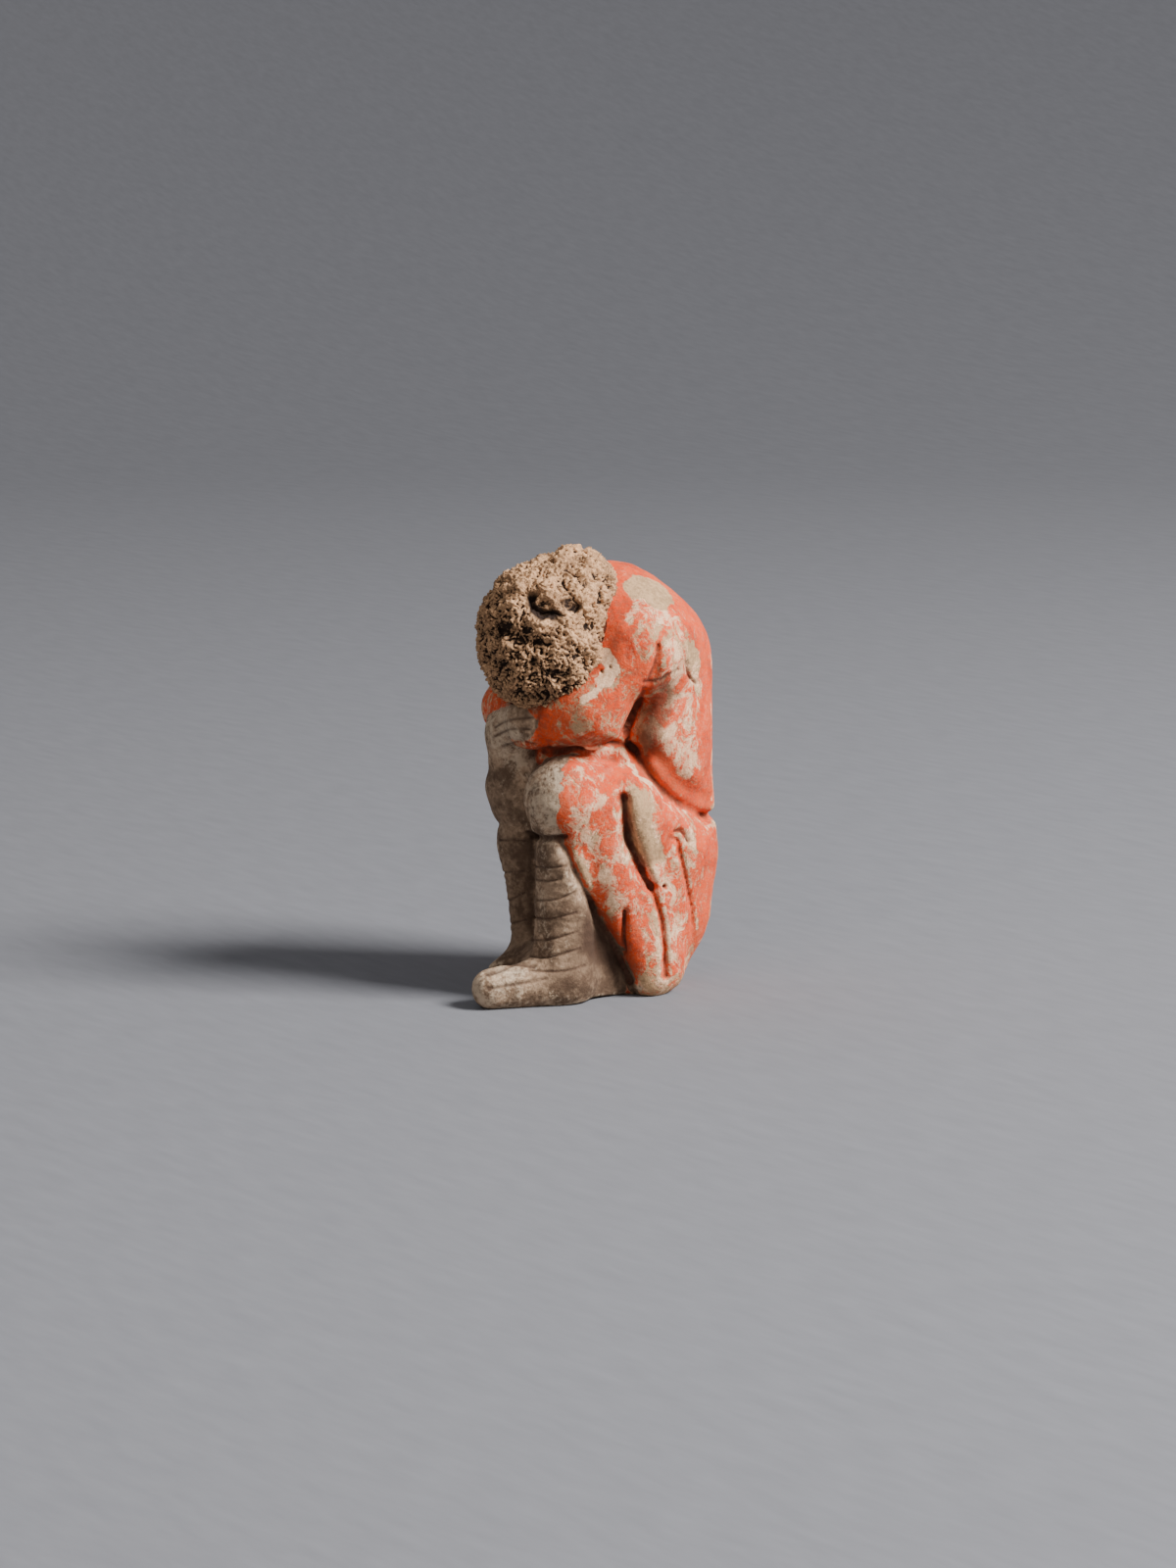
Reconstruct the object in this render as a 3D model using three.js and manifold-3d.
// A small fired-clay figure of a youth who squats asleep: knees drawn up, arms folded over
// the knees and the head laid down on them. It was pressed and modelled in one piece of clay.
// Millimetres, +Z up. The youth faces -Y, with the left side towards +X.
import * as THREE from "three";
import Module from "manifold-3d";
import { mergeVertices } from "three/addons/utils/BufferGeometryUtils.js";

// Driving dimensions
const height = 88; // from the ground to the top of the hair
const soleThickness = 7.5; // the slab of clay that both feet are part of
const archRise = 0.5; // how far the underside lifts between the feet and the seat
const facet = 0.75; // the grid that the clay's surface is first found on
const mostTriangles = 9600; // left in the solid once its flatter faces are merged

// The free forms below are given in hundredths of the height.
const share = height / 100;
const place = (point) => point.map((n) => n * share);

// Forms: each is a function of a point that gives its distance from the surface, negative inside.

const length = (x, y, z) => Math.sqrt(x * x + y * y + z * z);

function egg(centre, radii, turn = [0, 0, 0]) {
  const [cx, cy, cz] = place(centre);
  const [rx, ry, rz] = place(radii);
  const [ax, ay, az] = turn.map(THREE.MathUtils.degToRad);
  const rotation = new THREE.Matrix4().makeRotationFromEuler(new THREE.Euler(ax, ay, az));
  const e = rotation.invert().elements;
  return (x, y, z) => {
    const dx = x - cx;
    const dy = y - cy;
    const dz = z - cz;
    const px = (e[0] * dx + e[4] * dy + e[8] * dz) / rx;
    const py = (e[1] * dx + e[5] * dy + e[9] * dz) / ry;
    const pz = (e[2] * dx + e[6] * dy + e[10] * dz) / rz;
    const k0 = length(px, py, pz);
    const k1 = length(px / rx, py / ry, pz / rz);
    return k1 < 1e-9 ? -Math.min(rx, ry, rz) : (k0 * (k0 - 1)) / k1;
  };
}

function limb(from, to, fromRadius, toRadius) {
  const [ax, ay, az] = place(from);
  const [bx, by, bz] = place(to);
  const [ra, rb] = [fromRadius * share, toRadius * share];
  const [dx, dy, dz] = [bx - ax, by - ay, bz - az];
  const length2 = dx * dx + dy * dy + dz * dz;
  return (x, y, z) => {
    const px = x - ax;
    const py = y - ay;
    const pz = z - az;
    const t = Math.min(1, Math.max(0, (px * dx + py * dy + pz * dz) / length2));
    return length(px - dx * t, py - dy * t, pz - dz * t) - (ra + (rb - ra) * t);
  };
}

function joined(blend, ...forms) {
  const k = blend * share;
  return (x, y, z) => {
    let d = forms[0](x, y, z);
    for (let i = 1; i < forms.length; i += 1) {
      const other = forms[i](x, y, z);
      const h = Math.max(k - Math.abs(d - other), 0) / k;
      d = Math.min(d, other) - (h * h * k) / 4;
    }
    return d;
  };
}

function carved(blend, form, tool) {
  const k = blend * share;
  return (x, y, z) => {
    const d = form(x, y, z);
    const other = -tool(x, y, z);
    const h = Math.max(k - Math.abs(d - other), 0) / k;
    return Math.max(d, other) + (h * h * k) / 4;
  };
}

const mirrored = (form) => (x, y, z) => form(-x, y, z);

// Lines are drawn on the form as it looks from one side. Such a view turns a point into
// [across, up, toward the viewer], in hundredths of the height.
function viewFrom(azimuthDegrees, elevationDegrees) {
  const [a, e] = [azimuthDegrees, elevationDegrees].map(THREE.MathUtils.degToRad);
  const [sinA, cosA, sinE, cosE] = [Math.sin(a), Math.cos(a), Math.sin(e), Math.cos(e)];
  return (x, y, z) => {
    const away = y * cosA - x * sinA;
    const across = x * cosA + y * sinA;
    return [across / share, (z * cosE + away * sinE) / share, (z * sinE - away * cosE) / share];
  };
}

function distanceToPath(points) {
  const curve = new THREE.CatmullRomCurve3(points.map(([u, v]) => new THREE.Vector3(u, v, 0)));
  const steps = curve.getPoints(points.length * 3);
  return (u, v) => {
    let nearest = Infinity;
    for (let i = 1; i < steps.length; i += 1) {
      const a = steps[i - 1];
      const du = steps[i].x - a.x;
      const dv = steps[i].y - a.y;
      const t = ((u - a.x) * du + (v - a.y) * dv) / (du * du + dv * dv);
      const s = Math.min(1, Math.max(0, t));
      nearest = Math.min(nearest, length(u - a.x - du * s, v - a.y - dv * s, 0));
    }
    return nearest;
  };
}

// Presses each line's groove into the side that faces the viewer, or raises it if depth is
// negative. A groove fades out where the form turns away, at the distance named as nearest.
function scored(form, view, lines) {
  const tools = lines.map(({ width, depth, path, nearest = 3 }) => ({
    width,
    depth: depth * share,
    nearest,
    distance: distanceToPath(path),
    box: new THREE.Box2().setFromPoints(path.map(([u, v]) => new THREE.Vector2(u, v))),
  }));
  for (const tool of tools) tool.box.expandByScalar(3.5 * tool.width);
  return (x, y, z) => {
    let d = form(x, y, z);
    const [u, v, toward] = view(x, y, z);
    for (const { width, depth, nearest, distance, box } of tools) {
      if (toward < nearest || u < box.min.x || u > box.max.x) continue;
      if (v < box.min.y || v > box.max.y) continue;
      const reach = distance(u, v) / width;
      d += depth * Math.exp(-reach * reach) * Math.min(1, (toward - nearest) / 4);
    }
    return d;
  };
}

// The trunk: hips low at the back, a bent spine and round shoulders
const hips = joined(
  0.8,
  limb([0, 12.2, 29], [0, 11.2, 17], 16.9, 15.9),
  limb([0, 11.2, 17], [0, 8.2, 2], 15.9, 12),
);
const spine = joined(
  6,
  hips,
  limb([0, 12.6, 44], [0, 10.6, 71.3], 15.3, 16.6),
  limb([-9, 5, 76.3], [9, 5, 76.3], 12, 12),
  egg([1, 2.5, 80.5], [13, 13, 13.3]),
  egg([0, -5, 54], [9, 10, 14]),
);
const flank = egg([11, 9.8, 56.5], [7.2, 11, 18], [-8, 0, 0]);
const trunk = joined(2.5, spine, flank);

// A leg under the robe: the thigh and the knee, with the bound shin below
function leg(knee, calf, ankle, shinRadii) {
  const garter = [knee[0], knee[1] - 0.3, knee[2] - 8.5];
  const [hip, thigh, top] = [[8.8, 12, 31], [10, -0.3, 42.3], [knee[0], knee[1] + 0.5, knee[2] + 1.6]];
  const lap = joined(1, limb(hip, thigh, 9.4, 9), limb(thigh, top, 9, 8.5));
  return joined(
    1.2,
    joined(4, lap, limb(knee, garter, 8.5, 6.4)),
    limb([garter[0], garter[1], garter[2] - 3.4], calf, shinRadii[0], shinRadii[1]),
    limb(calf, ankle, shinRadii[1], shinRadii[2]),
  );
}
const legs = joined(
  0.6,
  leg([7.5, -12.9, 43.4], [7, -13.2, 21], [6.5, -13.4, 6], [6.7, 6.2, 6.8]),
  mirrored(leg([7.5, -12.7, 44], [6.8, -12.6, 22], [6.4, -12.5, 6], [6.6, 4.9, 4.2])),
);

// Clay fills the space behind the shins
const core = joined(4, limb([1, -5, 4], [1, -5, 36], 9, 8), egg([0, 0, 24], [12, 12, 24]));

// The robe's skirt hangs from knee and hip, and gathers towards the ground
const skirtSide = joined(
  1.5,
  limb([8.5, -7.5, 38.5], [12, 6, 4.5], 8.6, 5.2),
  limb([9.5, 2, 38], [12, 8.5, 6], 9, 5.4),
  limb([9, 10, 32], [11, 9, 5], 9.5, 5.2),
);
const tuckedFold = egg([14.6, 1.2, 36.5], [4.4, 3.4, 9], [14, 0, 0]);
const skirt = joined(0.8, skirtSide, mirrored(skirtSide), tuckedFold);

// Arms folded over the knees, the near one in front, its hand on the far knee
const farElbow = [-12.5, -13.5, 61.8];
const nearElbow = [9, -8, 64];
const wrist = [1, -17, 60.8];
const nearArm = joined(
  5,
  limb([12, 2, 76], nearElbow, 10.5, 8),
  limb(nearElbow, wrist, 8, 6.2),
);
const farArm = joined(4, limb([-12, 4, 76], farElbow, 9.6, 5.8), limb(farElbow, wrist, 5.4, 5));
const nearHand = joined(3, limb(wrist, [-8, -17.3, 57.5], 5, 5.2), egg([-8.4, -15, 51.5], [6.3, 6.3, 8.5]));

// The head is laid on the arms with the face turned to the far side. A point of the head is
// given as [to its left ear, to its crown, out of its face] from its middle.
const headMiddle = [1.1, -15, 78.8];
const faceOut = new THREE.Vector3(-0.96, -0.12, -0.08).normalize();
const leftEarward = new THREE.Vector3(0, -0.95, 0.31).cross(faceOut).normalize();
const crownward = new THREE.Vector3().crossVectors(faceOut, leftEarward);
function onHead(left, crown, out) {
  const point = new THREE.Vector3(...headMiddle).addScaledVector(leftEarward, left);
  return point.addScaledVector(crownward, crown).addScaledVector(faceOut, out).toArray();
}
const face = joined(
  1.6,
  egg(onHead(0, -0.5, 2.8), [10.2, 11.5, 9.6]),
  limb(onHead(-5, 1.4, 10), onHead(5, 1.4, 10), 1.7, 1.7),
  limb(onHead(0, 0.5, 11.6), onHead(0, -4.2, 13), 1, 1.6),
  egg(onHead(-3.6, -1.5, 11), [1.6, 1.6, 1.9]),
  egg(onHead(3.6, -1.5, 11), [1.6, 1.6, 1.9]),
  limb(onHead(-1.9, -7.4, 11.4), onHead(1.9, -7.4, 11.4), 1.3, 1.3),
  limb(onHead(-1, -10.6, 9.8), onHead(1, -10.6, 9.8), 2.4, 2.4),
);
const faceOpening = limb(onHead(0, -1, 17), onHead(0, -7, 17), 9.3, 9.3);

// The hair is thick and matted: its lumps are a slow wave in all three directions
const hairCap = joined(
  4,
  egg(headMiddle, [14, 14, 16.4]),
  egg([2.2, -7.2, 87.3], [10.2, 10.2, 10.4]),
  egg([7.2, -10.6, 73.2], [7.5, 7.5, 9]),
);
const lump = 8.5 * share;
const lumpRise = 0.6 * share;
function matted(form) {
  const turn = (2 * Math.PI) / lump;
  return (x, y, z) => {
    const [a, b, c] = [turn * x + 1, turn * y * 1.1 + 2, turn * z * 0.9];
    return form(x, y, z) - lumpRise * Math.sin(a) * Math.sin(b) * Math.sin(c);
  };
}
const head = joined(0.5, carved(1.2, matted(hairCap), faceOpening), face);

// Feet on one slab
const sole = soleThickness / share / 2;
const feet = joined(
  3,
  limb([8, -13, 5], [3.5, -29.7, sole - 0.2], 6, sole + 0.2),
  limb([-7, -13, 5], [-4.5, -20.5, sole - 0.2], 6, sole + 0.2),
  limb([0, -12, 3], [0, 0, 3], 10, 10),
);

const bare = joined(
  0.8,
  joined(1.8, joined(2, trunk, core), skirt, joined(2.5, legs, feet)),
  joined(1.5, farArm, nearHand),
  nearArm,
  head,
);

// Creases and folds of the near side
const nearSide = [
  // between the trunk and the lap
  { width: 1.3, depth: 1.8, path: [[8, 52], [11.8, 46], [17.5, 40.6], [24, 37.4]], nearest: -3 },
  { width: 2.4, depth: 1.3, path: [[12.5, 51], [16, 46.2], [20, 42.8], [24.3, 40.5]], nearest: 0 },
  // between the near arm and the trunk
  { width: 2.6, depth: 2.4, path: [[9.6, 50.5], [7.8, 55.5], [9.4, 60.5]] },
  { width: 1, depth: 0.8, path: [[9.3, 62], [12.4, 68], [13.2, 73.5]] },
  // between the near arm and the knees
  { width: 0.9, depth: 0.9, path: [[9, 52], [4, 53.4], [-2, 53], [-8, 51.4], [-11, 51.5]] },
  // below the knees, where the leg bindings start
  { width: 0.9, depth: 0.8, path: [[-16, 33.4], [-11, 32.8], [-6.5, 33]] },
  { width: 0.8, depth: 0.5, path: [[-24, 36.5], [-19, 35.5], [-15, 35.5]], nearest: -2 },
  // the front edge of the skirt
  { width: 1.1, depth: 1.4, path: [[-7.8, 34.5], [-4.6, 26], [-0.6, 17.6], [4.2, 9.4], [7.6, 2]] },
  // the folds that run down to the ground
  { width: 1.2, depth: 2.6, path: [[6, 41.4], [6.8, 34], [9.6, 26.4], [11.6, 22.6]] },
  { width: 0.9, depth: 1, path: [[11.6, 22.6], [13.2, 18.5], [14.4, 13], [15, 3]] },
  { width: 0.9, depth: 0.8, path: [[9.8, 25.9], [13, 28.2], [16.3, 32.6]] },
  { width: 0.8, depth: 0.8, path: [[17.4, 32.5], [18.9, 26], [20.6, 17.5], [21.4, 9.4]] },
  { width: 0.8, depth: 0.7, path: [[6.2, 17], [6, 12.5], [6.1, 8.3]] },
];
// The far side and the back are plainer: the waist, the elbow and two folds
const farSide = [
  { width: 1.3, depth: 1.6, path: [[-8, 52], [-11.8, 46], [-17.5, 40.6], [-24, 37.4]], nearest: -3 },
  { width: 1.3, depth: 1.2, path: [[-9, 51.5], [-8.4, 56.5], [-10.5, 63]] },
  { width: 1.3, depth: 1.3, path: [[7.3, 33.5], [3.8, 25], [-0.2, 17], [-5, 8.8], [-8, 2]] },
  { width: 1.2, depth: 1, path: [[-6, 41.2], [-9.6, 26.4], [-14, 14.6], [-15, 3]] },
];
const back = [{ width: 1.3, depth: 1.2, path: [[-16, 37.5], [0, 36.8], [16, 37.5]], nearest: 13 }];
const nearScored = scored(bare, viewFrom(55, 10), nearSide);
const bothScored = scored(nearScored, viewFrom(-55, 10), farSide);
const scoredAround = scored(bothScored, viewFrom(180, 0), back);

// The underside lifts a little between the feet and the seat
const archRadius = 55;
const archTop = archRise / share - archRadius;
const arch = limb([-40, -8, archTop], [40, -8, archTop], archRadius, archRadius);
const shape = carved(0.3, scoredAround, arch);

// The clay goes on a little below the ground, where it is cut off flat
const spare = 3 * facet;
const clay = (x, y, z) => Math.max(shape(x, y, z), -spare - z);

// Whether an order is an odd number of swaps away from rising
function isOdd(order) {
  let swaps = 0;
  for (let i = 0; i < order.length; i += 1)
    for (let j = 0; j < i; j += 1) if (order[j] > order[i]) swaps += 1;
  return swaps % 2 === 1;
}

// Skin: walks a grid of cubes and lays faces where the surface passes through them.
function skin(form, low, high, size) {
  const count = low.map((l, i) => Math.ceil((high[i] - l) / size) + 1);
  const [nx, ny, nz] = count;
  const at = (i, j, k) => i + nx * (j + ny * k);
  const valueAt = (i, j, k) => form(low[0] + i * size, low[1] + j * size, low[2] + k * size);
  const values = new Float32Array(nx * ny * nz);
  // A block of grid points that is far from the surface takes its middle point's value.
  const block = 3;
  const near = block * size * 1.3;
  const clear = size / 20;
  const middles = new Map();
  for (let k = 0; k < nz; k += 1)
    for (let j = 0; j < ny; j += 1)
      for (let i = 0; i < nx; i += 1) {
        const [bi, bj, bk] = [i, j, k].map((n) => n - (n % block));
        const key = at(bi, bj, bk);
        if (!middles.has(key)) middles.set(key, valueAt(bi + 1, bj + 1, bk + 1));
        const middle = middles.get(key);
        const value = Math.abs(middle) < near ? valueAt(i, j, k) : middle;
        // No grid point lies on the surface itself, so no two vertices fall together.
        values[at(i, j, k)] = value < 0 ? Math.min(value, -clear) : Math.max(value, clear);
      }

  const gradient = (x, y, z) => {
    const h = size * 0.1;
    return [
      (form(x + h, y, z) - form(x - h, y, z)) / (2 * h),
      (form(x, y + h, z) - form(x, y - h, z)) / (2 * h),
      (form(x, y, z + h) - form(x, y, z - h)) / (2 * h),
    ];
  };
  const settled = (point) => {
    let [x, y, z] = point;
    for (let round = 0; round < 4; round += 1) {
      const d = form(x, y, z);
      const g = gradient(x, y, z);
      const steep = g[0] * g[0] + g[1] * g[1] + g[2] * g[2] + 1e-6;
      const move = THREE.MathUtils.clamp(d / steep, -size / 4, size / 4);
      x -= g[0] * move;
      y -= g[1] * move;
      z -= g[2] * move;
    }
    return [x, y, z];
  };

  // Each cube of the grid is six tetrahedra around its diagonal. Corner c of a cube is one step
  // along x, y or z for each of its bits 1, 2 and 4.
  const tetrahedra = [[0, 1, 3, 7], [0, 3, 2, 7], [0, 2, 6, 7], [0, 6, 4, 7], [0, 4, 5, 7], [0, 5, 1, 7]];
  const step = (c) => (c & 1) + nx * (((c >> 1) & 1) + ny * ((c >> 2) & 1));
  const positions = [];
  const index = [];
  const vertexOnEdge = new Map();
  function vertexBetween(here, a, b) {
    const [p, q] = [here + step(a), here + step(b)];
    const key = Math.min(p, q) * values.length + Math.max(p, q);
    if (!vertexOnEdge.has(key)) {
      const t = values[p] / (values[p] - values[q]);
      const point = [0, 1, 2].map((n) => {
        const [i, j] = [p, q].map((node) => Math.floor(node / [1, nx, nx * ny][n]) % count[n]);
        return low[n] + (i + (j - i) * t) * size;
      });
      vertexOnEdge.set(key, positions.length / 3);
      positions.push(...settled(point));
    }
    return vertexOnEdge.get(key);
  }
  for (let k = 0; k < nz - 1; k += 1)
    for (let j = 0; j < ny - 1; j += 1)
      for (let i = 0; i < nx - 1; i += 1) {
        const here = at(i, j, k);
        const isInside = [0, 1, 2, 3, 4, 5, 6, 7].map((c) => values[here + step(c)] < 0);
        if (isInside.every((inside) => inside === isInside[0])) continue;
        for (const tetrahedron of tetrahedra) {
          const within = tetrahedron.filter((c) => isInside[c]);
          const without = tetrahedron.filter((c) => !isInside[c]);
          if (!within.length || !without.length) continue;
          const order = [...within, ...without].map((c) => tetrahedron.indexOf(c));
          const ring = within.flatMap((a) => without.map((b) => vertexBetween(here, a, b)));
          if (within.length === 2) [ring[2], ring[3]] = [ring[3], ring[2]];
          if (isOdd(order)) ring.reverse();
          for (let n = 2; n < ring.length; n += 1) index.push(ring[0], ring[n - 1], ring[n]);
        }
      }
  const geometry = new THREE.BufferGeometry();
  geometry.setAttribute("position", new THREE.Float32BufferAttribute(positions, 3));
  geometry.setIndex(index);
  return geometry;
}

// Each vertex sums up the planes of the faces it stands for, as the ten terms of the squared
// distance from them, so it can say how far any point is from those faces.
function addPlane(terms, normal, offset, weight) {
  const plane = [normal.x, normal.y, normal.z, offset];
  let term = 0;
  for (let i = 0; i < 4; i += 1)
    for (let j = i; j < 4; j += 1) terms[term++] += plane[i] * plane[j] * weight;
}
function misfit(terms, { x, y, z }) {
  const [xx, xy, xz, x1, yy, yz, y1, zz, z1, one] = terms;
  const square = xx * x * x + yy * y * y + zz * z * z + one;
  return square + 2 * (xy * x * y + xz * x * z + x1 * x + yz * y * z + y1 * y + z1 * z);
}

// Thins a closed mesh: edges are folded into one point each, those that change the shape least
// first, and only where the mesh stays closed and no face turns over.
const firstMisfit = 1e-5; // the first fold that is allowed, doubled in each round
const leastAgreement = 0.4; // between a face's old and new direction, 1 where it stays the same
function thinned(geometry, most) {
  const position = geometry.getAttribute("position");
  const points = Array.from({ length: position.count }, (_, i) =>
    new THREE.Vector3().fromBufferAttribute(position, i),
  );
  const around = points.map(() => new Set());
  const terms = points.map(() => new Float64Array(10));
  const faces = new Set();
  const triangle = new THREE.Triangle();
  const [before, after] = [new THREE.Vector3(), new THREE.Vector3()];
  for (let i = 0; i < geometry.index.count; i += 3) {
    const face = Array.from(geometry.index.array.slice(i, i + 3));
    triangle.set(...face.map((n) => points[n])).getNormal(before);
    for (const vertex of face) {
      around[vertex].add(face);
      addPlane(terms[vertex], before, -before.dot(triangle.a), triangle.getArea());
    }
    faces.add(face);
  }

  const neighbours = (vertex) => new Set([...around[vertex]].flat().filter((n) => n !== vertex));
  const turnsOver = (face, vertex, target) => {
    triangle.set(...face.map((n) => points[n])).getNormal(before);
    triangle.set(...face.map((n) => (n === vertex ? target : points[n]))).getNormal(after);
    return before.dot(after) < leastAgreement;
  };
  function folded(a, b, target) {
    const shared = [...around[a]].filter((face) => face.includes(b));
    const nextToB = neighbours(b);
    if ([...neighbours(a)].filter((n) => nextToB.has(n)).length !== 2) return false;
    for (const vertex of [a, b])
      for (const face of around[vertex])
        if (!shared.includes(face) && turnsOver(face, vertex, target)) return false;
    for (const face of shared) {
      for (const vertex of face) around[vertex].delete(face);
      faces.delete(face);
    }
    for (const face of around[b]) {
      face[face.indexOf(b)] = a;
      around[a].add(face);
    }
    around[b].clear();
    points[a].copy(target);
    for (let i = 0; i < 10; i += 1) terms[a][i] += terms[b][i];
    return true;
  }

  const both = new Float64Array(10);
  for (let allowed = firstMisfit; faces.size > most; allowed *= 2)
    for (let a = 0; a < points.length && faces.size > most; a += 1)
      for (const b of neighbours(a)) {
        for (let i = 0; i < 10; i += 1) both[i] = terms[a][i] + terms[b][i];
        const targets = [points[a], points[b], points[a].clone().lerp(points[b], 0.5)];
        const costs = targets.map((target) => misfit(both, target));
        const least = Math.min(...costs);
        if (least < allowed && folded(a, b, targets[costs.indexOf(least)].clone())) break;
      }

  const thin = new THREE.BufferGeometry();
  thin.setFromPoints(points);
  thin.setIndex([...faces].flat());
  return thin;
}

const wasm = await Module();
wasm.setup();

function solidOf(geometry) {
  const pointsOnly = geometry.clone();
  pointsOnly.deleteAttribute("normal");
  pointsOnly.deleteAttribute("uv");
  const merged = mergeVertices(pointsOnly);
  return new wasm.Manifold(
    new wasm.Mesh({
      numProp: 3,
      vertProperties: new Float32Array(merged.attributes.position.array),
      triVerts: new Uint32Array(merged.index.array),
    }),
  );
}

function geometryOf(solid) {
  const mesh = solid.getMesh();
  const geometry = new THREE.BufferGeometry();
  geometry.setAttribute("position", new THREE.BufferAttribute(mesh.vertProperties, 3));
  geometry.setIndex(new THREE.BufferAttribute(mesh.triVerts, 1));
  geometry.computeVertexNormals();
  return geometry;
}

const groundDepth = 20; // deeper than the clay that goes below the ground
const ground = new THREE.BoxGeometry(height * 2, height * 2, groundDepth);
ground.translate(0, 0, -groundDepth / 2);

const lowCorner = [...place([-25, -40]), -spare - 1.5 * facet];
const highCorner = place([25, 34, 104]);
const fine = skin(clay, lowCorner, highCorner, facet);
const rough = solidOf(thinned(fine, mostTriangles));
const standing = rough.subtract(solidOf(ground));

// The figure stands on the ground, with the middle of its box over the origin.
const box = standing.boundingBox();
const figure = standing.translate([-(box.min[0] + box.max[0]) / 2, -(box.min[1] + box.max[1]) / 2, 0]);

const terracotta = new THREE.MeshStandardMaterial({
  color: 0xb5654a,
  roughness: 0.9,
  metalness: 0,
});
const youth = new THREE.Mesh(geometryOf(figure), terracotta);
youth.name = "sleeping_youth";

const part = new THREE.Group();
part.add(youth);
export default part;
